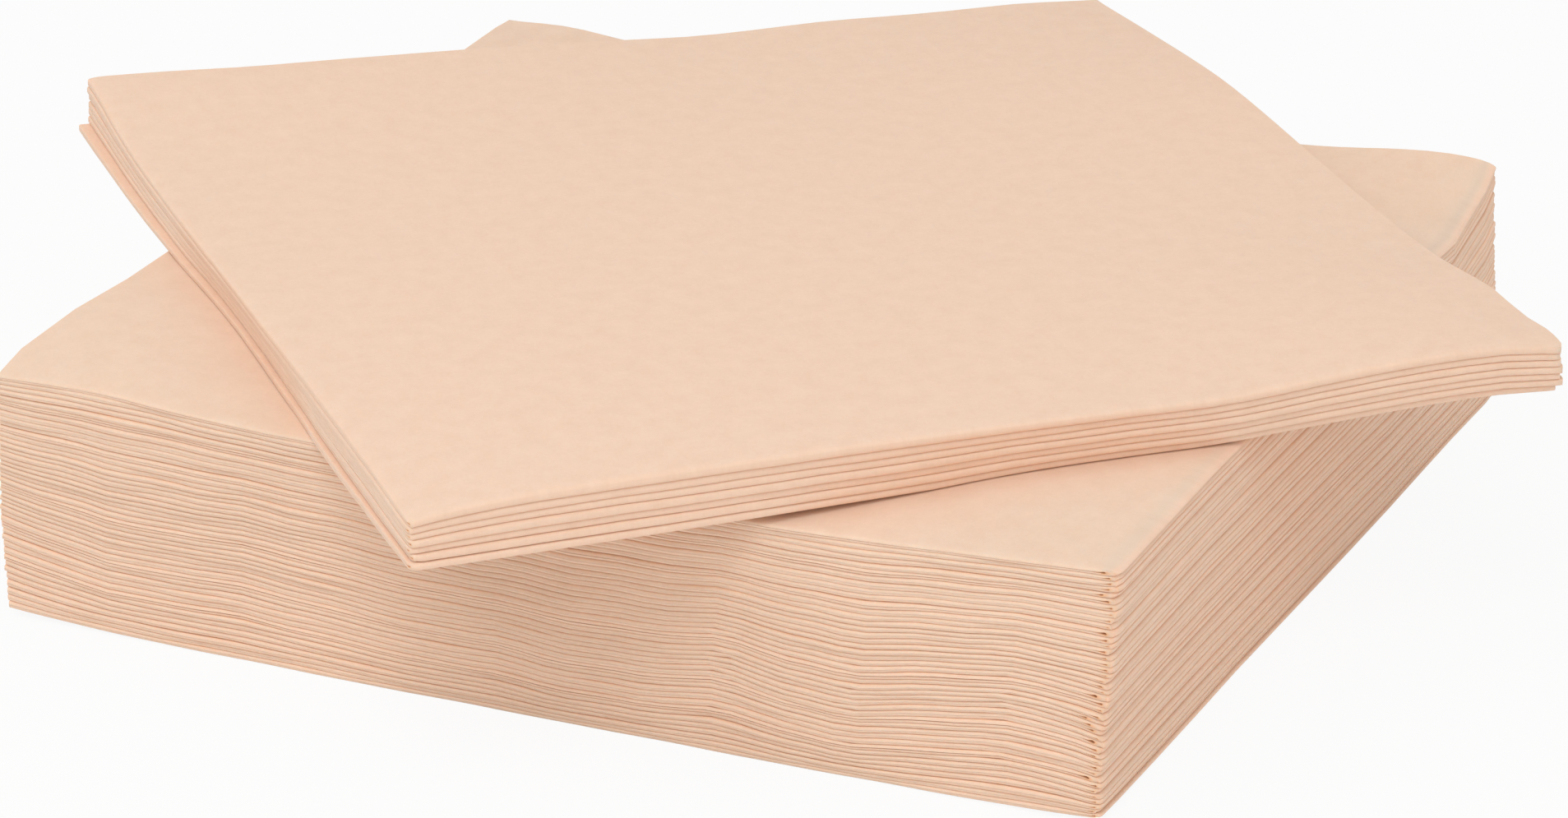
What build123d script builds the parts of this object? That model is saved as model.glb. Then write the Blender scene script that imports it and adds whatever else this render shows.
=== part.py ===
# Stack of paper napkins: a squared pile and a thinner one laid across it, every napkin folded in four.
# Millimetres, +Z up. The origin is the middle of the squared pile's foot, on the surface that it stands on.
# Folding a napkin in half makes its ridge, and folding it again wraps one half round the other.
# In the squared pile the ridges face -Y and the wraps face +X, so the closed corners stand at +X -Y.
import os
from math import cos, pi, radians, sin, tan

from build123d import *

# The napkin
open_side = 400.0  # laid out flat
crease_gap = 0.03  # air between two leaves that lie on each other
ridge_bevel_share = 0.3  # of a doubled leaf's thickness, taken off each edge of its ridge
overrun = 1.0  # how far a cut runs past the paper

# The squared pile, whose napkins are pressed thin
squared_count = 43
pressed_thickness = 1.02
twist_reach = 1.2  # degrees that the top of the pile is turned by
twist_shares = (0.15, 0.15, 0.2, 0.35, 0.5, 0.7, 0.75, 1.0, 0.95)  # evenly spaced, from the foot up
slip_reach = 0.35  # how far a napkin lies off its neighbours' line
slip_x_shares = (0.2, -0.7, 0.5, -0.3, 0.9, -0.5, 0.1)
slip_y_shares = (0.6, -0.2, -0.9, 0.3, 0.8, -0.6, 0.0, -0.4, 0.5, -0.1, 0.2)
pressed_turn = 0.1  # degrees
turn_shares = (0.3, -0.6, 0.1, 0.9, -0.2, -0.8, 0.4, 0.0, 0.7, -0.4, 0.2, -1.0, 0.5)

# The turned pile, whose napkins are looser
turned_count = 7
loose_thickness = 1.4
pile_turn = -45.6  # degrees
pile_shift_x = 2.6
pile_shift_y = -1.5
loose_reach = 1.3
loose_turn = 0.6  # degrees
# From the lowest up, each napkin's own shift along X and Y and its own turn.
loose_shares = (
    (-0.9, -0.5, 1.0),
    (0.2, 0.1, 0.6),
    (-0.1, 0.2, -0.1),
    (0.3, -0.1, 0.1),
    (0.0, 0.2, -0.2),
    (-0.2, 0.0, 0.1),
    (0.1, -0.1, 0.0),
)

half_side = open_side / 4
squared_height = squared_count * pressed_thickness


def twist_at(index):
    # The twist of one napkin of the squared pile, between the two steps nearest to it.
    place = index / (squared_count - 1) * (len(twist_shares) - 1)
    step = min(int(place), len(twist_shares) - 2)
    below, above = twist_shares[step], twist_shares[step + 1]
    return twist_reach * (below + (above - below) * (place - step))


def seat_plane(x, y, z, turn):
    # The underside of one napkin. Its x runs towards the wrap and its y away from the ridge.
    return Plane((x, y, z), x_dir=(cos(radians(turn)), sin(radians(turn)), 0), z_dir=(0, 0, 1))


def squared_seat(index):
    slip_x = slip_reach * slip_x_shares[index % len(slip_x_shares)]
    slip_y = slip_reach * slip_y_shares[index % len(slip_y_shares)]
    turn = twist_at(index) + pressed_turn * turn_shares[index % len(turn_shares)]
    return seat_plane(slip_x, slip_y, index * pressed_thickness, turn)


def turned_seat(index):
    share_x, share_y, share_turn = loose_shares[index % len(loose_shares)]
    x = pile_shift_x + loose_reach * share_x
    y = pile_shift_y + loose_reach * share_y
    z = squared_height + index * loose_thickness
    return seat_plane(x, y, z, pile_turn + loose_turn * share_turn)


def turned_back(reach, centre, middle, open_end):
    # One side of the gap in a wrap: in along one leg, round the turn in three flats, and back out.
    flat = reach * tan(pi / 8)
    return [
        (open_end, middle - reach),
        (centre + flat, middle - reach),
        (centre + reach, middle - flat),
        (centre + reach, middle + flat),
        (centre + flat, middle + reach),
        (open_end, middle + reach),
    ]


def folded_napkin(label, seat, thickness):
    doubled = (thickness - crease_gap) / 2  # two leaves and the gap between them
    leaf = (doubled - crease_gap) / 2
    middle = thickness / 2
    wrap_centre = half_side - middle
    ridge = Plane(seat.from_local_coords((0, -half_side, 0)), x_dir=seat.x_dir, z_dir=-seat.y_dir)

    with BuildPart() as napkin:
        # The doubled sheet, folded once more round the slit that stays open at the back.
        with BuildSketch(ridge):
            with BuildLine():
                underside = Line((-half_side, 0), (wrap_centre, 0))
                wrap = ThreePointArc(underside @ 1, (half_side, middle), (wrap_centre, thickness))
                Polyline(
                    wrap @ 1,
                    (-half_side, thickness),
                    (-half_side, thickness - doubled),
                    (wrap_centre, thickness - doubled),
                    (wrap_centre, doubled),
                    (-half_side, doubled),
                    underside @ 0,
                )
            make_face()
        extrude(amount=-2 * half_side)

        # The ridges of the first fold are pressed round, also where they follow the wrap.
        ridge_face = napkin.faces().sort_by(Axis(seat.origin, seat.y_dir))[0]
        chamfer(ridge_face.edges().filter_by(Axis.Z, reverse=True), doubled * ridge_bevel_share)

        # The gap between the two leaves of the doubled sheet, which the ridge closes.
        with BuildSketch(ridge.offset(-leaf)):
            open_end = -half_side - overrun
            outer = turned_back(middle - leaf, wrap_centre, middle, open_end)
            inner = turned_back(middle - leaf - crease_gap, wrap_centre, middle, open_end)
            with BuildLine():
                Polyline(*outer, *reversed(inner), close=True)
            make_face()
        extrude(amount=-(2 * half_side - leaf + overrun), mode=Mode.SUBTRACT)

    napkin.part.label = label
    export_step(napkin.part, f"parts/{label}.step")


os.makedirs("parts", exist_ok=True)
for index in range(squared_count):
    folded_napkin(f"napkin_{index + 1:02d}", squared_seat(index), pressed_thickness)
for index in range(turned_count):
    folded_napkin(f"napkin_{squared_count + index + 1:02d}", turned_seat(index), loose_thickness)
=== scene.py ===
import math

import bpy
import numpy as np
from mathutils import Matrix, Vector


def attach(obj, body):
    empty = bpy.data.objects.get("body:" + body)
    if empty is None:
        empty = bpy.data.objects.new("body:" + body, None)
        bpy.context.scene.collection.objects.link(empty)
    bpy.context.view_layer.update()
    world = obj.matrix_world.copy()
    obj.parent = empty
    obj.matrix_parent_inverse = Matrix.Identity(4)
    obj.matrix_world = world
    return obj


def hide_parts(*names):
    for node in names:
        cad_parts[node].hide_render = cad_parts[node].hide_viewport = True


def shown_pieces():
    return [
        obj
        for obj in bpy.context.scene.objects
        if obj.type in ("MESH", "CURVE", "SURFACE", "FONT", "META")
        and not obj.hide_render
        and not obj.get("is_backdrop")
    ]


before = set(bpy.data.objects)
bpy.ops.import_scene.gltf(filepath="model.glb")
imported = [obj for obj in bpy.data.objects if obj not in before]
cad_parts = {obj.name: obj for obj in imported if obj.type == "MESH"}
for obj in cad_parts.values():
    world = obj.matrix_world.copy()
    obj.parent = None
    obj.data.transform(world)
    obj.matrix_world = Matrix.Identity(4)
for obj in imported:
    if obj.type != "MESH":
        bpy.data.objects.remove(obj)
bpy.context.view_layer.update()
mm = 0.001
plainWhite = (0.985, 0.985, 0.985, 1)  # what the camera sees behind and below the napkins


def say(text):
    print("napkins:", text)


def deselectAll():
    bpy.ops.object.select_all(action="DESELECT")


def facing(way):
    return way.to_track_quat("-Z", "Y").to_euler()


def addNode(tree, kind, inputs=None, **settings):
    # inputs are values or other nodes' outputs, by the name or the place of their own socket.
    node = tree.nodes.new(kind)
    for name, value in settings.items():
        setattr(node, name, value)
    for socket, value in (inputs or {}).items():
        if isinstance(value, bpy.types.NodeSocket):
            tree.links.new(value, node.inputs[socket])
        else:
            node.inputs[socket].default_value = value
    return node


def addMath(tree, operation, *values):
    return addNode(tree, "ShaderNodeMath", dict(enumerate(values)), operation=operation).outputs[0]


# Camera, as the photograph was taken from
cameraSettings = {
    "place": (422.4, -936.3, 438.4),  # millimetres
    "lookAt": (8.35, -16.76, 25.0),
    "lens": 143.9,
    "sensor": 36,
    "clip": (0.05, 50),  # metres
}


def makeCamera(s):
    deselectAll()
    place = Vector(s["place"]) * mm
    bpy.ops.object.camera_add(location=place)
    camera = bpy.context.object
    camera.name = "napkinCamera"
    camera.rotation_euler = facing(Vector(s["lookAt"]) * mm - place)
    camera.data.lens = s["lens"]
    camera.data.sensor_width = s["sensor"]
    camera.data.clip_start, camera.data.clip_end = s["clip"]
    bpy.context.scene.camera = camera


makeCamera(cameraSettings)


# Light, four soft lamps and an even pale room
lightSettings = {
    # turn in degrees from -Y towards +X, height in degrees, distance, size and power
    "lamps": {
        "frontLamp": (11, 35, 1.6, 0.5, 1.9),
        "highLamp": (15, 58, 1.6, 0.6, 4.8),
        "leftLamp": (-50, 50, 1.6, 0.8, 3.5),
        "rightLamp": (60, 20, 1.6, 0.8, 1.9),
    },
    "roomColour": (1.0, 0.99, 0.98, 1),
    "roomStrength": 0.66,
}


def addAreaLamp(name, turn, height, away, size, power):
    turn, height = math.radians(turn), math.radians(height)
    back = Vector((math.sin(turn) * math.cos(height), -math.cos(turn) * math.cos(height), math.sin(height)))
    deselectAll()
    bpy.ops.object.light_add(type="AREA", location=back * away)
    lamp = bpy.context.object
    lamp.name = name
    lamp.rotation_euler = facing(-back)
    lamp.data.shape = "DISK"
    lamp.data.size = size
    lamp.data.energy = power


def makeLight(s):
    for name, lamp in s["lamps"].items():
        addAreaLamp(name, *lamp)
    world = bpy.data.worlds.new("paleRoom")
    world.use_nodes = True
    tree = world.node_tree
    tree.nodes.clear()
    rays = addNode(tree, "ShaderNodeLightPath").outputs
    seen = addMath(tree, "MAXIMUM", rays["Is Camera Ray"], rays["Is Glossy Ray"])
    seen = addMath(tree, "MAXIMUM", seen, rays["Is Transmission Ray"])
    room = addNode(tree, "ShaderNodeBackground", {"Color": s["roomColour"], "Strength": s["roomStrength"]})
    white = addNode(tree, "ShaderNodeBackground", {"Color": plainWhite, "Strength": 1})
    mix = addNode(tree, "ShaderNodeMixShader", {0: seen, 1: room.outputs[0], 2: white.outputs[0]})
    addNode(tree, "ShaderNodeOutputWorld", {"Surface": mix.outputs[0]})
    bpy.context.scene.world = world


makeLight(lightSettings)
bpy.context.scene.view_settings.view_transform = "Standard"
say("camera and light are set")


# The grain of the tissue
grainSettings = {
    # detail, roughness and distortion of each noise
    "fibre": (3, 0.6, 0.0),
    "crepe": (2, 0.5, 0.4),
    "cloud": (4, 0.65, 0.0),
    "crepeSquash": (0.16, 1, 1),  # draws the crepe out into lines
    "cloudShare": 0.65,  # of the mottle, against the fibres
    "fibreShare": 0.4,  # of the relief, against the crepe lines
}


def makeTissueGrain(s):
    # Fibres, fine crepe lines and soft clouds, on the sheet's own flat places in metres.
    group = bpy.data.node_groups.new("tissueGrain", "ShaderNodeTree")
    group.interface.new_socket("Place", in_out="INPUT", socket_type="NodeSocketVector")
    for name in ("Sheet", "Grain Scale", "Crepe Scale", "Cloud Scale"):
        group.interface.new_socket(name, in_out="INPUT", socket_type="NodeSocketFloat")
    for name in ("Mottle", "Relief"):
        group.interface.new_socket(name, in_out="OUTPUT", socket_type="NodeSocketFloat")
    start = addNode(group, "NodeGroupInput").outputs
    drawnOut = {0: start["Place"], 1: s["crepeSquash"]}
    lines = addNode(group, "ShaderNodeVectorMath", drawnOut, operation="MULTIPLY").outputs[0]

    def noise(place, scale, detail, roughness, distortion):
        inputs = {"Vector": place, "W": start["Sheet"], "Scale": start[scale]}
        inputs.update({"Detail": detail, "Roughness": roughness, "Distortion": distortion})
        return addNode(group, "ShaderNodeTexNoise", inputs, noise_dimensions="4D").outputs["Fac"]

    def blend(first, second, share):
        return addMath(group, "MULTIPLY_ADD", first, share, addMath(group, "MULTIPLY", second, 1 - share))

    fibre = noise(start["Place"], "Grain Scale", *s["fibre"])
    crepe = noise(lines, "Crepe Scale", *s["crepe"])
    cloud = noise(start["Place"], "Cloud Scale", *s["cloud"])
    mottle, relief = blend(cloud, fibre, s["cloudShare"]), blend(fibre, crepe, s["fibreShare"])
    addNode(group, "NodeGroupOutput", {"Mottle": mottle, "Relief": relief})
    return group


# The paper
paperSettings = {
    "colour": (0.885, 0.638, 0.49, 1),
    "darkColour": (0.845, 0.594, 0.446, 1),
    "paintedShadeTint": (1.0, 0.79, 0.6, 1),  # painted shade, full inside the drops of air, and a part of it in the grooves between the napkins
    "mottleRange": (0.38, 0.62),  # of the mottle, from the dark colour to the light one
    "roughness": (0.85, 1.0),
    "gloss": 0.15,
    # the light that goes a little way through the paper
    "glowWeight": 0.3,
    "glowRadius": (1.0, 0.6, 0.4),
    "glowScale": 0.0006,
    "grainScale": 1500.0,
    "crepeScale": 900.0,
    "cloudScale": 240.0,
    "grainHeight": 0.00002,
    "grainStrength": 0.5,
}


def makePaper(s, grain):
    material = bpy.data.materials.new("peachTissue")
    material.use_nodes = True
    tree = material.node_tree
    flatPlace = addNode(tree, "ShaderNodeUVMap", uv_map="flatPlace")
    sheet = addNode(tree, "ShaderNodeAttribute", attribute_name="sheetTone")
    # painted shade: how far the paper lies in a groove between napkins or inside a drop of air
    fold = addNode(tree, "ShaderNodeAttribute", attribute_name="paintedGapShade")
    tissue = addNode(tree, "ShaderNodeGroup", {}, node_tree=grain)
    tree.links.new(flatPlace.outputs["UV"], tissue.inputs["Place"])
    tree.links.new(sheet.outputs["Fac"], tissue.inputs["Sheet"])
    for name in ("Grain", "Crepe", "Cloud"):
        tissue.inputs[f"{name} Scale"].default_value = s[f"{name.lower()}Scale"]
    mottle, (dark, light) = tissue.outputs["Mottle"], s["mottleRange"]
    shade = addNode(tree, "ShaderNodeMapRange", {"Value": mottle, "From Min": dark, "From Max": light})
    shades = {"Factor": shade.outputs["Result"], "A": s["darkColour"], "B": s["colour"]}
    colour = addNode(tree, "ShaderNodeMix", shades, data_type="RGBA")
    # painted shade: the tint darkens and warms the paper in the grooves between napkins and inside the drops
    # of air
    tint = {"Factor": fold.outputs["Fac"], "A": colour.outputs["Result"], "B": s["paintedShadeTint"]}
    shadedColour = addNode(tree, "ShaderNodeMix", tint, data_type="RGBA", blend_type="MULTIPLY")
    least, most = s["roughness"]
    rough = addNode(tree, "ShaderNodeMapRange", {"Value": mottle, "To Min": least, "To Max": most})
    relief, strength, height = tissue.outputs["Relief"], s["grainStrength"], s["grainHeight"]
    bump = addNode(tree, "ShaderNodeBump", {"Height": relief, "Strength": strength, "Distance": height})
    principled = tree.nodes["Principled BSDF"].inputs
    principled["Specular IOR Level"].default_value = s["gloss"]
    principled["Subsurface Weight"].default_value = s["glowWeight"]
    principled["Subsurface Radius"].default_value = s["glowRadius"]
    principled["Subsurface Scale"].default_value = s["glowScale"]
    tree.links.new(shadedColour.outputs["Result"], principled["Base Color"])
    tree.links.new(rough.outputs["Result"], principled["Roughness"])
    tree.links.new(bump.outputs["Normal"], principled["Normal"])
    return material


paper = makePaper(paperSettings, makeTissueGrain(grainSettings))


# The flat sheet, with its stations close together where it folds and at its cut edges
sheetSettings = {
    "side": 400.0,  # laid out flat
    # half the width of paper that goes round in the second fold, the stations' shares of it, and those next
    # to it
    "wrapTurn": 0.45,
    "wrapShares": (0, 0.33, 0.5, 0.67, 1),
    "wrapNext": (0.4, 1.0, 1.8, 3.2, 6.0),
    # the same for the first fold
    "ridgeTurn": 0.22,
    "ridgeShares": (0, 0.5, 1),
    "ridgeNext": (0.4, 0.9, 1.7, 3.5, 8.0),
}
half = sheetSettings["side"] / 4  # from a folded napkin's middle to its edges


def stationsOf(fold, spread, ends):
    # From the fold out to the cut edge, and the same on the other side of the fold. spread is how many there
    # are over the open part, ends how far from the cut edge the last ones are.
    s = sheetSettings
    turn, edge = s[fold + "Turn"], s["side"] / 2
    out = [turn * share for share in s[fold + "Shares"]] + [turn + x for x in s[fold + "Next"]]
    start, last = out[-1], edge - ends[0]
    out += [start + (last - start) * i / spread for i in range(1, spread + 1)]
    out += [edge - x for x in ends[1:]] + [edge]
    return [-x for x in reversed(out[1:])] + out


def flatSheet(name, s):
    across, along = stationsOf("wrap", *s["across"]), stationsOf("ridge", *s["along"])
    deselectAll()
    bpy.ops.mesh.primitive_grid_add(x_subdivisions=len(across) - 1, y_subdivisions=len(along) - 1, size=2)
    sheet = bpy.context.object
    sheet.name = name
    mesh = sheet.data
    points = np.empty(len(mesh.vertices) * 3)
    mesh.vertices.foreach_get("co", points)
    points = points.reshape(-1, 3)
    for axis, stations in enumerate((across, along)):
        points[:, axis] = np.interp(points[:, axis], np.linspace(-1, 1, len(stations)), stations) * mm
    mesh.vertices.foreach_set("co", points.ravel())
    loops = np.empty(len(mesh.loops), int)
    mesh.loops.foreach_get("vertex_index", loops)
    mesh.uv_layers.active.name = "flatPlace"
    mesh.uv_layers.active.data.foreach_set("uv", points[loops][:, :2].ravel())
    mesh.update()
    solid = sheet.modifiers.new("leaf", "SOLIDIFY")
    solid.thickness = s["leaf"] * mm
    solid.offset = 0
    bpy.ops.object.modifier_apply(modifier=solid.name)
    return sheet


def near(distance, reach):
    return np.exp(-np.maximum(distance, 0) / reach)


def smooth(low, high, x):
    t = np.clip((x - low) / (high - low), 0, 1)
    return t * t * (3 - 2 * t)


def between(table, x):
    places, values = zip(*table)
    return np.interp(x, places, values)


def bendOf(x, y, px, py):
    square = (x - px) ** 2 + (y - py) ** 2
    return square * np.log(square + 1)


def thinPlate(table, soft=100.0):
    # The weights of a thin plate that is bent through points read off the edges of the pile. soft eases it.
    x, y, z = np.array(table, float).T
    n = len(x)
    system = np.zeros((n + 3, n + 3))
    system[:n, :n] = bendOf(x[:, None], y[:, None], x, y) + soft * np.eye(n)
    system[:n, n:] = np.stack([np.ones(n), x, y], axis=1)
    system[n:, :n] = system[:n, n:].T
    return x, y, np.linalg.solve(system, np.append(z, np.zeros(3)))


def heightField(plate, x, y):
    placesX, placesY, weights = plate
    total = weights[-3] + weights[-2] * x + weights[-1] * y
    for px, py, weight in zip(placesX, placesY, weights):
        total += weight * bendOf(x, y, px, py)
    return total


def ripple(seed, x, lengths, reach, sizes=(0.4, 1.0)):
    # A little unevenness along an edge, different for each napkin. sizes is the range of each wave's share.
    dice = np.random.RandomState(seed)
    out = np.zeros_like(x)
    for length in lengths:
        size, start = dice.uniform(*sizes), dice.uniform(0, 2 * math.pi)
        out += size * np.sin(2 * math.pi * x / length + start)
    return reach * out / len(lengths)


def roundCorner(x, y, side, radius):
    # Rounds one corner of the napkin's outline. side is 1 for the far end of the wrap, -1 for the near one.
    a, b = np.maximum(x - half + radius, 0), np.maximum(side * y - half + radius, 0)
    pull = np.where((a > 0) & (b > 0), np.maximum(a, b) / np.maximum(np.hypot(a, b), 0.0001), 1)
    return x - a * (1 - pull), y - side * b * (1 - pull)


# The two folds
foldSettings = {
    "fullShare": 0.497,  # of a napkin's room, for each of its two halves
    "leastShare": 0.2,  # and what each of them keeps where its slit stands wide open
    "slitBlunt": 12,  # how square the ridge is towards the napkin's own slit, so that it closes
    # how long the drop of air is, in millimetres, and how much longer for each millimetre of its height
    "dropStart": 0.25,
    "dropGrowth": 0.8,
}


def bluntness(turn, power):
    # How far a turn stands out past a round one: round at a power of 2, and nearly square at a high one.
    cosine, sine = np.maximum(np.cos(turn), 1e-9), np.abs(np.sin(turn))
    return (cosine**power + sine**power) ** (-1 / power)


def foldInFour(flat, room, slit, s, tuck, dropHeight):
    # flat holds places on the sheet and through it. room is the height that the napkin has at each, with its
    # slit. tuck is how far the paper reaches past the drop of air that is left in its second fold.
    wrapTurn, ridgeTurn = sheetSettings["wrapTurn"], sheetSettings["ridgeTurn"]
    drop = foldSettings["dropStart"] + foldSettings["dropGrowth"] * dropHeight
    u, v, w = flat[:, 0], flat[:, 1], flat[:, 2]
    doubled = 2 * s["leaf"] + s["crease"]
    full, least = foldSettings["fullShare"] * room - slit / 2, foldSettings["leastShare"] * room
    squeeze = np.maximum(full, least) / doubled
    apart = (s["leaf"] + s["crease"]) / 2 * squeeze + w * squeeze
    turn = np.clip(v / ridgeTurn, -1, 1) * math.pi / 2
    blunt = bluntness(turn, np.where(turn < 0, s["ridgeBlunt"], foldSettings["slitBlunt"]))
    out = -apart * np.sin(turn) * blunt
    y = -half + doubled / 2 * squeeze - apart * np.cos(turn) * blunt + np.maximum(np.abs(v) - ridgeTurn, 0)
    inner = room / 2 - doubled * squeeze
    level = inner + doubled / 2 * squeeze + out
    depth = np.clip((level - inner) / (doubled * squeeze), 0, 1)
    turn = np.clip(u / wrapTurn, -1, 1) * math.pi / 2
    blunt = bluntness(turn, 2 + (s["wrapBlunt"] - 2) * depth)
    straight = np.maximum(np.abs(u) - wrapTurn, 0) * (2 * half - tuck - drop) / (2 * half - wrapTurn)
    x = half - tuck - drop + (drop + tuck * depth) * np.maximum(np.cos(turn), 1e-9) * blunt - straight
    z = room / 2 + level * np.sin(turn) * blunt
    return x, y, z, depth


def seatOf(node, square, reach=1.5, steps=301):
    # Turn and middle of a napkin's own solid. The turn is the one at which its outline is smallest, looked
    # for up to reach degrees from square.
    co = np.array([v.co[:2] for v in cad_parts[node].data.vertices]) / mm
    best = None
    for turn in np.radians(square + np.linspace(-reach, reach, steps)):
        c, sn = math.cos(turn), math.sin(turn)
        own = co @ np.array([[c, -sn], [sn, c]])
        size = (own.max(0) - own.min(0)).sum()
        if best is None or size < best[0]:
            x, y = (own.max(0) + own.min(0)) / 2
            best = (size, turn, c * x - sn * y, sn * x + c * y)
    return best[1:]


def ontoGround(seat, x, y):
    turn, middleX, middleY = seat
    c, sn = math.cos(turn), math.sin(turn)
    return middleX + c * x - sn * y, middleY + sn * x + c * y


def fromGround(seat, x, y):
    turn, middleX, middleY = seat
    c, sn = math.cos(turn), math.sin(turn)
    x, y = x - middleX, y - middleY
    return c * x + sn * y, c * y - sn * x


# The squared pile, in millimetres
squaredPile = {
    "count": 43,
    "square": 0.0,  # the pile's turn in degrees
    "seed": 11,
    # stations over the open part of the sheet, and how far from the cut edge the last ones are
    "across": (44, (3.0, 1.0)),
    "along": (10, (6.0, 1.5)),
    "slipShare": 0.3,  # of each napkin's own slip out of line
    "footSlipShare": 0.3,  # and of the lowest one's
    "leaf": 0.246,  # before it is pressed
    "crease": 0.004,  # air between two leaves
    "grooveShare": 0.4,  # of the painted shade tint, in the grooves between the napkins
    "cutUneven": 0.12,  # how far a cut edge stops short or runs over
    "footCut": 0.8,  # how much further in the lowest napkins' cut edges stop
    "gap": 0.01,  # air between two napkins
    "uneven": 0.16,  # how much thicker or thinner a whole napkin is, as a share
    "wobble": 0.12,  # and how much it changes along its edges
    "crest": 0.2,  # how far the middle of a ridge stands out
    # how far the ridge and the wrap of a napkin lie in or out of line along their length
    "ridgeReach": 0.36,
    "wrapReach": 0.12,
    # from 2 for a round fold to high values for a square one
    "ridgeBlunt": 2.8,
    "wrapBlunt": 6.0,
    "droop": 0.3,  # how far the top goes down at the edges
    # of the outline where the wrap meets the ridges and at its other end, each from the foot to the top
    "cornerRadii": ((1.3, 2.3), (0.5, 0.5)),
    # x, y and height of the top
    "top": (
        (-97, -101, 45.4), (-77, -101, 45.6), (-59, -101, 44.0), (-39, -100, 43.3), (-10, -100, 42.5),
        (10, -100, 42.1), (36, -99, 41.9), (62, -98, 42.3), (80, -98, 43.1), (94, -98, 43.6),
        (102, -98, 43.9), (102, -83, 43.8), (102, -64, 44.0), (101, -34, 43.4), (100, 20, 41.8),
        (99, 68, 38.4), (99, 85, 37.9), (99, 93, 39.6), (98, 102, 44.1), (96, 102, 45.0), (89, 102, 45.2),
        (83, 102, 44.9), (77, 102, 44.4), (70, 102, 43.5), (60, 102, 42.7), (20, 101, 43.2),
        (-30, 100, 43.8), (-78, 99, 44.6), (-88, 99, 45.9), (-93, 99, 45.9), (-99, 98, 45.3),
        (-101, 90, 46.1), (-101, 81, 45.8), (-100, 30, 45.8), (-99, -41, 46.3), (-99, -56, 46.4),
        (-98, -70, 46.8), (-98, -86, 48.3), (-98, -93, 47.2), (0, 0, 44.0), (-50, 0, 44.8), (50, 0, 43.8),
        (0, 60, 43.8), (0, -60, 43.6), (75, -75, 43.9), (88, -60, 44.0), (-60, 60, 44.8), (60, 60, 42.6),
        (60, -60, 43.8), (-60, -60, 45.0), (80, 80, 41.6),
    ),
    # how high the foot is lifted at the left tip and at the near corner, and how far that reaches
    "leftTip": (1.7, 16),
    "nearTip": (1.15, 17),
    # napkins from the foot with a wide gap over them, and its width, seen on the ridges and on the wraps
    "ridgeGaps": {
        41: 0.03, 39: 0.12, 36: 0.03, 33: 0.15, 29: 0.06, 27: 0.03, 25: 0.07, 23: 0.03, 19: 0.06,
        16: 0.07, 14: 0.03, 11: 0.08, 9: 0.03, 6: 0.07, 3: 0.07, 2: 0.03,
    },
    "wrapGaps": {
        42: 0.05, 38: 0.2, 34: 0.06, 29: 0.2, 24: 0.12, 19: 0.12, 15: 0.1, 12: 0.1, 8: 0.06, 5: 0.1,
        1: 0.06,
    },
    # napkins whose own slit stands open along the ridges
    "ridgeSlits": {43: 0.09, 38: 0.15, 33: 0.07, 21: 0.15, 13: 0.13, 8: 0.13},
    # napkins with a drop of air at the slit's end: how far inside the edge, and how high it is
    "drops": {
        43: (2.2, 0.5), 42: (1.2, 0.4), 41: (1.1, 0.35), 40: (1.7, 0.3), 39: (2.3, 0.5), 38: (1.2, 0.45),
        37: (0.6, 0.35), 33: (1.3, 0.7), 32: (1.0, 0.4), 30: (1.0, 0.4), 29: (0.8, 0.3), 28: (0.7, 0.3),
        27: (0.8, 0.3), 24: (1.0, 0.4), 22: (1.9, 0.7), 21: (0.9, 0.4), 19: (1.0, 0.4), 18: (3.0, 0.45),
        17: (2.3, 0.4), 16: (1.6, 0.35), 14: (1.6, 0.7), 12: (1.0, 0.35), 10: (0.8, 0.35), 8: (1.8, 0.7),
        7: (0.7, 0.35),
    },
    "groupBulge": 0.55,  # how far the wraps of a group between two wide gaps stand out in its middle
    # how far out the lowest napkin's ridge and its wrap stand along their length, less in those above it
    "footRidge": ((-100, 0), (100, 0)),
    "footWrap": ((-100, 0), (-42, -0.4), (0, 0), (22, 0.35), (40, 0.45), (70, 0.3), (93, 0.8), (100, 0.5)),
    # the wave that runs along the ridges half way up, as place and height, and how far in it reaches
    "wave": (
        (-100, 2.4), (-90, 1.0), (-80, 0.1), (-70, 0.2), (-55, 0.9), (-42, 0.4), (-22, -0.9), (-7, -0.3),
        (4, -1.3), (20, -0.8), (34, 0.7), (45, -1.1), (56, -1.7), (70, 0.2), (83, 1.7), (90, 1.5),
        (95, 0.7), (100, -0.5),
    ),
    "waveReach": 35,
    # share of the wave at each share of the pile's height
    "waveShares": ((0, 0.0), (0.12, 0.8), (0.35, 1.2), (0.6, 0.75), (0.85, 0.25), (1.0, 0.0)),
}

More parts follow.
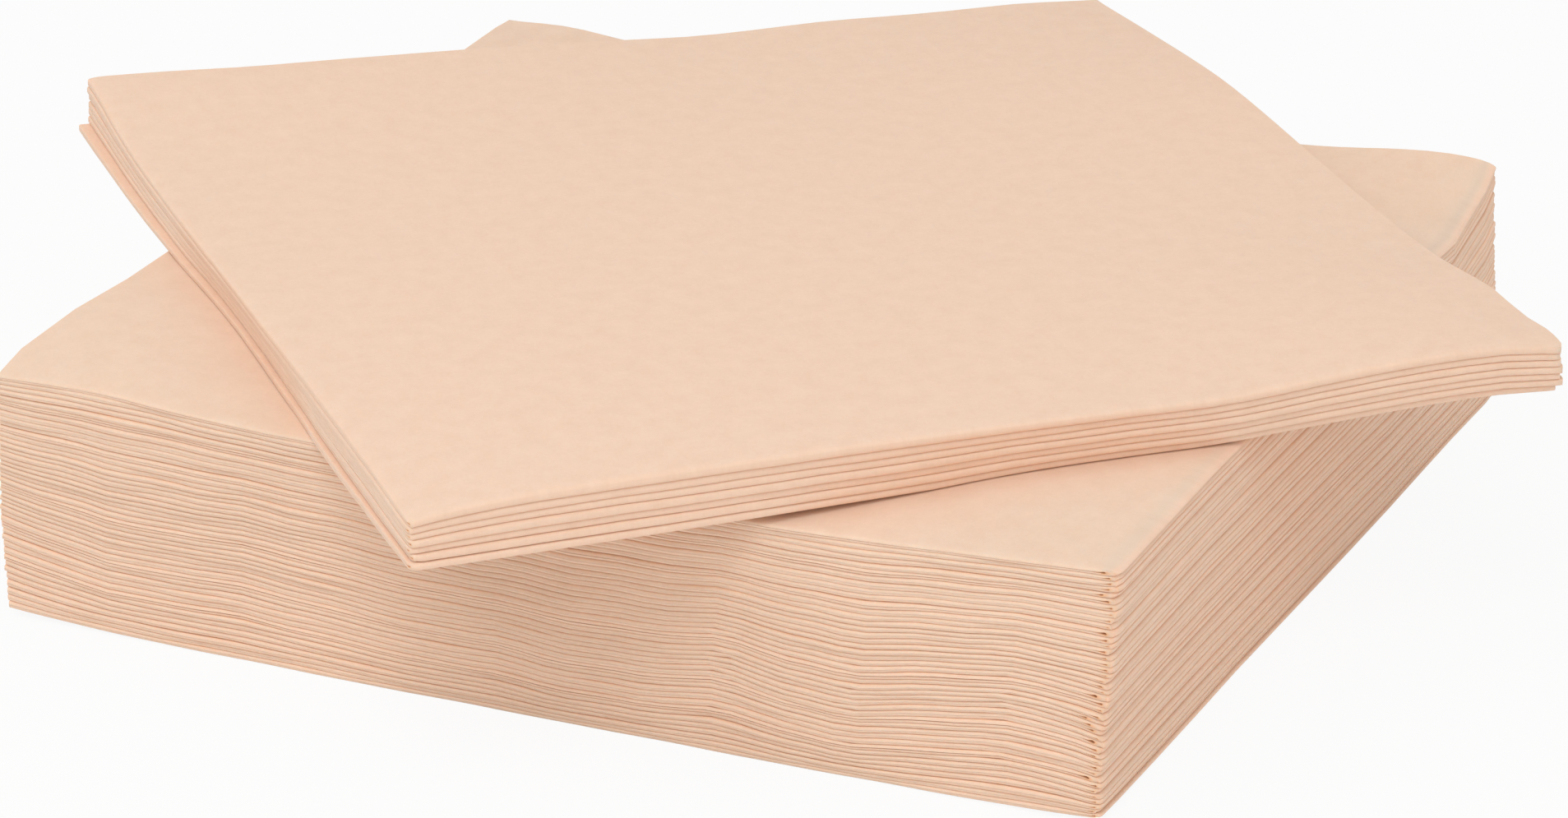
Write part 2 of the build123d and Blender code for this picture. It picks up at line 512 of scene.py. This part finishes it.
# The turned pile, with the same settings as the squared one where they have the same name
turnedPile = {
    "count": 7,
    "square": -45.6,
    "seed": 12,
    "across": (28, (4.0, 1.5)),
    "along": (28, (4.0, 1.5)),
    "slipShare": 0.45,
    "footSlipShare": 0.85,
    "leaf": 0.32,
    "crease": 0.01,
    "grooveShare": 0.05,
    "cutUneven": 0.12,
    "footCut": 0.0,
    "gap": 0.012,
    "uneven": 0.05,
    "wobble": 0.05,
    "crest": 0.1,
    "ridgeReach": 0.14,
    "wrapReach": 0.15,
    "ridgeBlunt": 4.0,
    "wrapBlunt": 4.2,
    "droop": 0.35,
    "cornerRadii": ((1.8, 1.8), (1.0, 1.6)),
    "top": (
        (1, -143, 52.3), (5, -139, 53.2), (11, -133, 53.7), (30, -114, 54.2), (50, -95, 54.2),
        (70, -75, 54.0), (91, -55, 53.7), (99, -47, 53.3), (108, -39, 54.0), (122, -24, 55.4),
        (133, -14, 55.6), (138, -8, 55.2), (144, -3, 53.6), (140, 1, 55.0), (135, 6, 53.9),
        (132, 10, 53.6), (126, 15, 54.7), (112, 30, 52.6), (70, 73, 53.7), (56, 87, 54.5), (46, 97, 54.7),
        (35, 108, 54.1), (24, 119, 53.2), (13, 131, 52.2), (8, 136, 51.6), (0, 136, 51.8),
        (-7, 129, 52.6), (-17, 120, 52.7), (-26, 110, 53.1), (-36, 101, 53.7), (-45, 92, 53.6),
        (-55, 82, 53.7), (-64, 73, 54.6), (-87, 50, 56.5), (-96, 41, 57.0), (-106, 32, 57.6),
        (-117, 21, 58.1), (-128, 10, 59.1), (-138, 0, 59.4), (-137, -2, 59.9), (-125, -14, 57.1),
        (-111, -29, 55.4), (-97, -43, 54.7), (-83, -57, 54.2), (-70, -70, 54.3), (-56, -84, 54.0),
        (-41, -100, 54.1), (-27, -114, 53.8), (-14, -128, 53.5), (0, -141, 52.2), (0, 0, 53.8),
        (-50, 0, 54.4), (50, 0, 53.6), (0, 50, 53.8), (0, -50, 54.0),
    ),
    # x, y and height of the pile's foot, which is lifted off the squared pile at the edges
    "foot": (
        (2, -143, 43.6), (40, -105, 43.3), (60, -85, 43.4), (85, -61, 43.7), (101, -45, 43.9),
        (136, -10, 46.1), (143, -3, 45.4), (112, 30, 44.3), (70, 73, 44.0), (4, 140, 42.6),
        (-64, 73, 45.6), (-96, 41, 47.0), (-117, 21, 48.2), (-140, 0, 49.6), (-125, -14, 48.2),
        (-111, -29, 47.2), (-99, -41, 46.6), (-83, -57, 45.7), (-66, -74, 44.6), (-54, -86, 44.0),
        (-42, -99, 43.3), (-31, -110, 43.0), (-18, -124, 43.1), (0, 0, 44.2), (-50, 0, 44.6),
        (50, 0, 44.0), (0, 50, 44.0), (0, -50, 44.0),
    ),
    # how far out the squared pile's top is followed, where its edge lets go, and the air over it
    "underReach": 101,
    "underEdge": (102, 99),
    "underGap": 0.12,
    "ridgeGaps": {},
    "wrapGaps": {1: 0.12},
    "ridgeSlits": {},
    "drops": {1: (0.8, 0.3), 2: (0.7, 0.2), 4: (0.6, 0.25), 6: (0.7, 0.2), 7: (0.6, 0.3)},
    "groupBulge": 0.0,
    "footRidge": (
        (-100, 0.2), (-60, 0.0), (-40, -0.4), (-18, -1.35), (5, -1.5), (38, -1.45), (62, -0.85),
        (85, -0.2), (100, 0.0),
    ),
    "footWrap": ((-100, 0), (-60, -0.8), (-30, -1.6), (10, -2.0), (50, -1.8), (75, -0.9), (100, 0)),
}

# What both piles share. A reach is how far in from an edge a thing goes, in millimetres
pressSettings = {
    "ridgeGapReach": 7,
    "wrapGapReach": 3.5,
    "slitReach": 3,
    "wobbleReach": 20,
    "droopReach": 0.9,
    "crestReach": 1.2,
    "swayReach": 12,
    "bulgeReach": 6,
    "dropReach": 0.6,
    # lengths of the ripples along an edge, in millimetres
    "fadeLengths": (31, 57, 120),
    "wobbleLengths": (17, 33, 71),
    "ridgeLengths": (19, 37, 71, 140),
    "wrapLengths": (29, 61, 110),
    "fade": (0.75, 0.5),  # share of a gap's width that shows, and how much that changes along the edge
    "places": (-104, 104, 105),  # along an edge, from the first to the last, and their number
    # what each napkin's own draws start from, with the pile's seed
    "seedSteps": {"ridge": 1000, "wrap": 2000, "napkin": 10, "cut": 7, "ridgeSway": 31, "wrapSway": 57},
    "crestRange": (0.5, 1.4),  # shares of the pile's crest
    "plainTuck": (0.6, 0.9),  # for napkins without a drop of air of their own
    "plainDrop": (0.1, 0.25),
    "footLayers": 12,  # how many napkins from the foot have their cut edges further in
    "line": 3,  # how many napkins on each side of one set the pile's own line there
    "bulgeLevel": 0.7,  # of a group's bulge, outwards in its middle, and the rest inwards at its ends
    "bulgeShare": 0.35,  # of the bulge, left at the far end of the wraps
    "bulgeEnd": (100, 60),  # y of that end, and of where the bulge is full
    "cornerStart": 0.4,  # share of the pile's height from which the corners' radius changes
    # how far inside the face of the pile the painted groove shade starts and is full, and how far it stays
    # so and fades
    "grooveStart": (0.02, 0.22),
    "grooveEnd": (0.3, 0.5),
    "topEdge": (0.9, 0.7),  # shares of the top napkin's height over which its painted groove shade fades out
    # shares of the napkin's depth over which the painted shade inside a drop of air shows, from its inside,
    # and how far it fades
    "dropDepth": (0.3, 0.05),
    "dropFade": 0.8,
    "sheetStep": 0.37,  # from one napkin's grain to the next one's
    "smoothAngle": 50,  # degrees
}


def piled(rows):
    return np.vstack([np.zeros_like(rows[0])] + list(np.cumsum(rows, axis=0)))


def pileDice(s):
    # What is each napkin's own, summed up from the foot, along its ridge and along its wrap.
    p, seed, count = pressSettings, s["seed"], s["count"]
    dice = np.random.RandomState(seed)
    places, steps = np.linspace(*p["places"]), p["seedSteps"]
    share = 1 + s["uneven"] * dice.uniform(-1, 1, count)
    d = {"share": piled(share), "places": places, "drop": [], "group": []}
    d["crest"] = s["crest"] * dice.uniform(*p["crestRange"], count)
    d["top"] = thinPlate(s["top"])
    if "foot" in s:
        d["foot"], d["under"] = thinPlate(s["foot"]), thinPlate(squaredPile["top"])
    middle, spread = p["fade"]
    for side in ("ridge", "wrap"):
        thick, air, slit = [], [], []
        for k in range(count):
            own = seed + steps[side] + steps["napkin"] * k
            fade = middle + ripple(own, places, p["fadeLengths"], spread)
            thick.append(share[k] * ripple(own + 1, places, p["wobbleLengths"], s["wobble"]))
            air.append(s[side + "Gaps"].get(k + 1, 0) * fade)
            slit.append(s.get(side + "Slits", {}).get(k + 1, 0) * fade)
        d[side] = {"thick": piled(thick), "air": piled(air), "slit": piled(slit)}
    edges = sorted([0, count] + list(s["wrapGaps"]))
    for k in range(count):
        plain = dice.uniform(*p["plainTuck"]), dice.uniform(*p["plainDrop"])
        d["drop"].append(s["drops"].get(k + 1, plain))
        low = max(edge for edge in edges if edge <= k)
        high = min(edge for edge in edges if edge > k)
        d["group"].append((low, high - low))
    return d


def layered(index, x, y, top, foot, s, d):
    # Splits the height from foot to top between the napkins, by their shares, gaps and slits.
    p = pressSettings
    ridge, wrap = near(y + half, p["ridgeGapReach"]), near(half - x, p["wrapGapReach"])
    brim = near(y + half, p["slitReach"])
    weave = (near(y + half, p["wobbleReach"]), near(half - x, p["wobbleReach"]))

    def upTo(i):
        paper = d["share"][i] + sum(
            w * np.interp(place, d["places"], d[side]["thick"][i])
            for w, place, side in zip(weave, (x, y), ("ridge", "wrap"))
        )
        air = i * s["gap"] + ridge * np.interp(x, d["places"], d["ridge"]["air"][i])
        air += wrap * np.interp(y, d["places"], d["wrap"]["air"][i])
        slit = brim * np.interp(x, d["places"], d["ridge"]["slit"][i])
        return paper, air, slit

    allPaper, allAir, allSlits = upTo(s["count"])
    one = (top - foot - allAir - allSlits) / allPaper
    paper, air, slits = upTo(index)
    paperOver, airOver, slitsOver = upTo(index + 1)
    slit = slitsOver - slits
    return foot + one * paper + air + slits, one * (paperOver - paper) + slit, slit


def topAt(ground, own, s, d):
    # The pile's top, which goes a little down where it comes to its edges.
    (x, y), reach = own, pressSettings["droopReach"]
    return heightField(d["top"], *ground) - s["droop"] * (near(y + half, reach) + near(half - x, reach))


def squaredPlace(index, ground, own, s, d):
    # Underside, room and slit of one napkin of the squared pile, at places on the ground and in the pile.
    x, y = own
    (leftHeight, leftReach), (nearHeight, nearReach) = s["leftTip"], s["nearTip"]
    foot = leftHeight * near(np.hypot(x + half, y + half), leftReach)
    foot = foot + nearHeight * near(np.hypot(x - half, y + half), nearReach)
    low, room, slit = layered(index, x, y, topAt(ground, own, s, d), foot, s, d)
    wave = between(s["wave"], x) * near(y + half, s["waveReach"])
    under, over = (between(s["waveShares"], (index + i) / s["count"]) for i in (0, 1))
    return low + wave * under, room + wave * (over - under), slit


def turnedPlace(index, ground, own, s, d):
    # The same for the turned pile, whose foot never goes below the top of the squared one.
    reach = s["underReach"]
    under = heightField(d["under"], *(np.clip(g, -reach, reach) for g in ground)) + s["underGap"]
    foot = heightField(d["foot"], *ground)
    over = smooth(*s["underEdge"], np.abs(ground[0])) * smooth(*s["underEdge"], np.abs(ground[1]))
    foot = foot + over * np.maximum(under - foot, 0)
    return layered(index, *own, topAt(ground, own, s, d), foot, s, d)


def pressOut(index, number, x, y, rise, s, d):
    # A napkin's own crest, sway, bulge and round corners. rise is how far up in its room each point is.
    p, footShare = pressSettings, 1 - index / s["count"]
    steps, seed = p["seedSteps"], s["seed"]
    crest = d["crest"][index] * (1 - np.clip(2 * rise - 1, -1, 1) ** 2) * near(y + half, p["crestReach"])
    ridgeSway = ripple(seed + steps["ridgeSway"] * number, x, p["ridgeLengths"], s["ridgeReach"])
    ridgeSway = ridgeSway - between(s["footRidge"], x) * footShare
    wrapSway = ripple(seed + steps["wrapSway"] * number, y, p["wrapLengths"], s["wrapReach"])
    wrapSway = wrapSway + between(s["footWrap"], y) * footShare
    y = y - crest + ridgeSway * near(y + half, p["swayReach"])
    x = x + wrapSway * near(half - x, p["swayReach"])
    groupFoot, groupSize = d["group"][index]
    place = (index + rise - groupFoot) / groupSize * 2 - 1
    along = p["bulgeShare"] + (1 - p["bulgeShare"]) * smooth(*p["bulgeEnd"], y)
    bulge = s["groupBulge"] * (p["bulgeLevel"] - place**2) * along
    x = x + bulge * near(half - x, p["bulgeReach"])
    for side, (lowRadius, highRadius) in zip((-1, 1), s["cornerRadii"]):
        change = smooth(p["cornerStart"], 1, (index + 1) / s["count"])
        x, y = roundCorner(x, y, side, lowRadius + (highRadius - lowRadius) * change)
    return x, y


def paintedGapShade(x, y, rise, depth, tuck, dropHeight, isTop, s):
    # Painted shade: how far inside a groove between napkins or a drop of air the paper is, where its colour
    # is darkened and warmed to stand in for the shade there.
    p = pressSettings
    full, fade = p["grooveEnd"]
    inward = (y + half, half - x)
    # painted shade in the grooves just inside the pile's faces
    groove = np.maximum(*(smooth(*p["grooveStart"], i) * near(i - full, fade) for i in inward))
    if isTop:
        groove = groove * smooth(*p["topEdge"], rise)
    # painted shade inside the drops of air
    inside = smooth(*p["dropDepth"], depth) * near(half - x - tuck - dropHeight, p["dropFade"])
    return np.maximum(s["grooveShare"] * groove, inside)


def addTone(mesh, name, values):
    mesh.attributes.new(name, "FLOAT", "POINT").data.foreach_set("value", values)


def makePile(name, s, firstNode, placeOf):
    p, count = pressSettings, s["count"]
    sheet = flatSheet(name + "Sheet", s)
    d = pileDice(s)
    points = np.empty(len(sheet.data.vertices) * 3)
    sheet.data.vertices.foreach_get("co", points)
    flat = points.reshape(-1, 3) / mm
    seats = np.array([seatOf(f"napkin_{firstNode + i:02d}", s["square"]) for i in range(count)])
    pieces = []
    for index in range(count):
        number = firstNode + index
        line = np.median(seats[max(index - p["line"], 0):index + p["line"] + 1], axis=0)
        seat = line + s["slipShare" if index else "footSlipShare"] * (seats[index] - line)
        dice = np.random.RandomState(s["seed"] + p["seedSteps"]["cut"] * number)
        cut = dice.uniform(-1, 1, 2) * s["cutUneven"]
        cut[0] -= s["footCut"] * max(1 - index / p["footLayers"], 0)
        own = flat.copy()
        own[:, :2] += cut * np.sign(own[:, :2]) * (own[:, :2] / (2 * half)) ** 2
        tuck, dropHeight = d["drop"][index]
        # folded once to see where each point comes to stand, and once more with the room that it has there
        x, y, z, depth = foldInFour(own, np.full(len(own), 1.0), 0.0, s, tuck, dropHeight)
        ground = ontoGround(seat, x, y)
        low, room, slit = placeOf(index, ground, fromGround(line, *ground), s, d)
        slit = slit + dropHeight * near(half - x - tuck - 0.5 * dropHeight, p["dropReach"])
        foldX, foldY, z, depth = foldInFour(own, room, slit, s, tuck, dropHeight)
        x, y = ontoGround(seat, *pressOut(index, number, foldX, foldY, z / room, s, d))
        piece = sheet.copy()
        piece.data = sheet.data.copy()
        piece.name = f"{name}_{index + 1:02d}"
        piece.data.name = piece.name
        bpy.context.scene.collection.objects.link(piece)
        piece.data.vertices.foreach_set("co", (np.stack([x, y, low + z], axis=1) * mm).ravel())
        # painted shade in the grooves between napkins and inside the drops of air
        gapShade = paintedGapShade(foldX, foldY, z / room, depth, tuck, dropHeight, index == count - 1, s)
        addTone(piece.data, "sheetTone", np.full(len(flat), number * p["sheetStep"]))
        addTone(piece.data, "paintedGapShade", gapShade)
        piece.data.update()
        piece.data.materials.append(paper)
        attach(piece, "root")
        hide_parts(f"napkin_{number:02d}")
        pieces.append(piece)
    deselectAll()
    for piece in pieces:
        piece.select_set(True)
    bpy.context.view_layer.objects.active = pieces[0]
    bpy.ops.object.shade_smooth_by_angle(angle=math.radians(p["smoothAngle"]))
    bpy.data.objects.remove(sheet)
    say(f"{name} is folded and piled, {count} napkins")
    return pieces


squared = makePile("pressed_napkin", squaredPile, 1, squaredPlace)
turned = makePile("loose_napkin", turnedPile, squaredPile["count"] + 1, turnedPlace)


# The floor
floorSettings = {
    "reach": 6.0,
    "colour": (0.9, 0.9, 0.9, 1),
    "whiteShare": 0.93,  # how far the camera sees it as plain white
}


def makeFloor(s):
    deselectAll()
    bpy.ops.mesh.primitive_plane_add(size=2 * s["reach"], location=(0, 0, 0))
    floor = bpy.context.object
    floor.name = "paleFloor"
    material = bpy.data.materials.new("paleFloor")
    material.use_nodes = True
    tree = material.node_tree
    tree.nodes.clear()
    diffuse = addNode(tree, "ShaderNodeBsdfDiffuse", {"Color": s["colour"]})
    white = addNode(tree, "ShaderNodeEmission", {"Color": plainWhite, "Strength": 1})
    rays = addNode(tree, "ShaderNodeLightPath").outputs
    share = addMath(tree, "MULTIPLY", rays["Is Camera Ray"], s["whiteShare"])
    mix = addNode(tree, "ShaderNodeMixShader", {0: share, 1: diffuse.outputs[0], 2: white.outputs[0]})
    addNode(tree, "ShaderNodeOutputMaterial", {"Surface": mix.outputs[0]})
    floor.data.materials.append(material)
    floor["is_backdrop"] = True


makeFloor(floorSettings)
triangles = sum(len(p.vertices) - 2 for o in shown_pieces() for p in o.data.polygons)
say(f"{triangles} triangles in all")
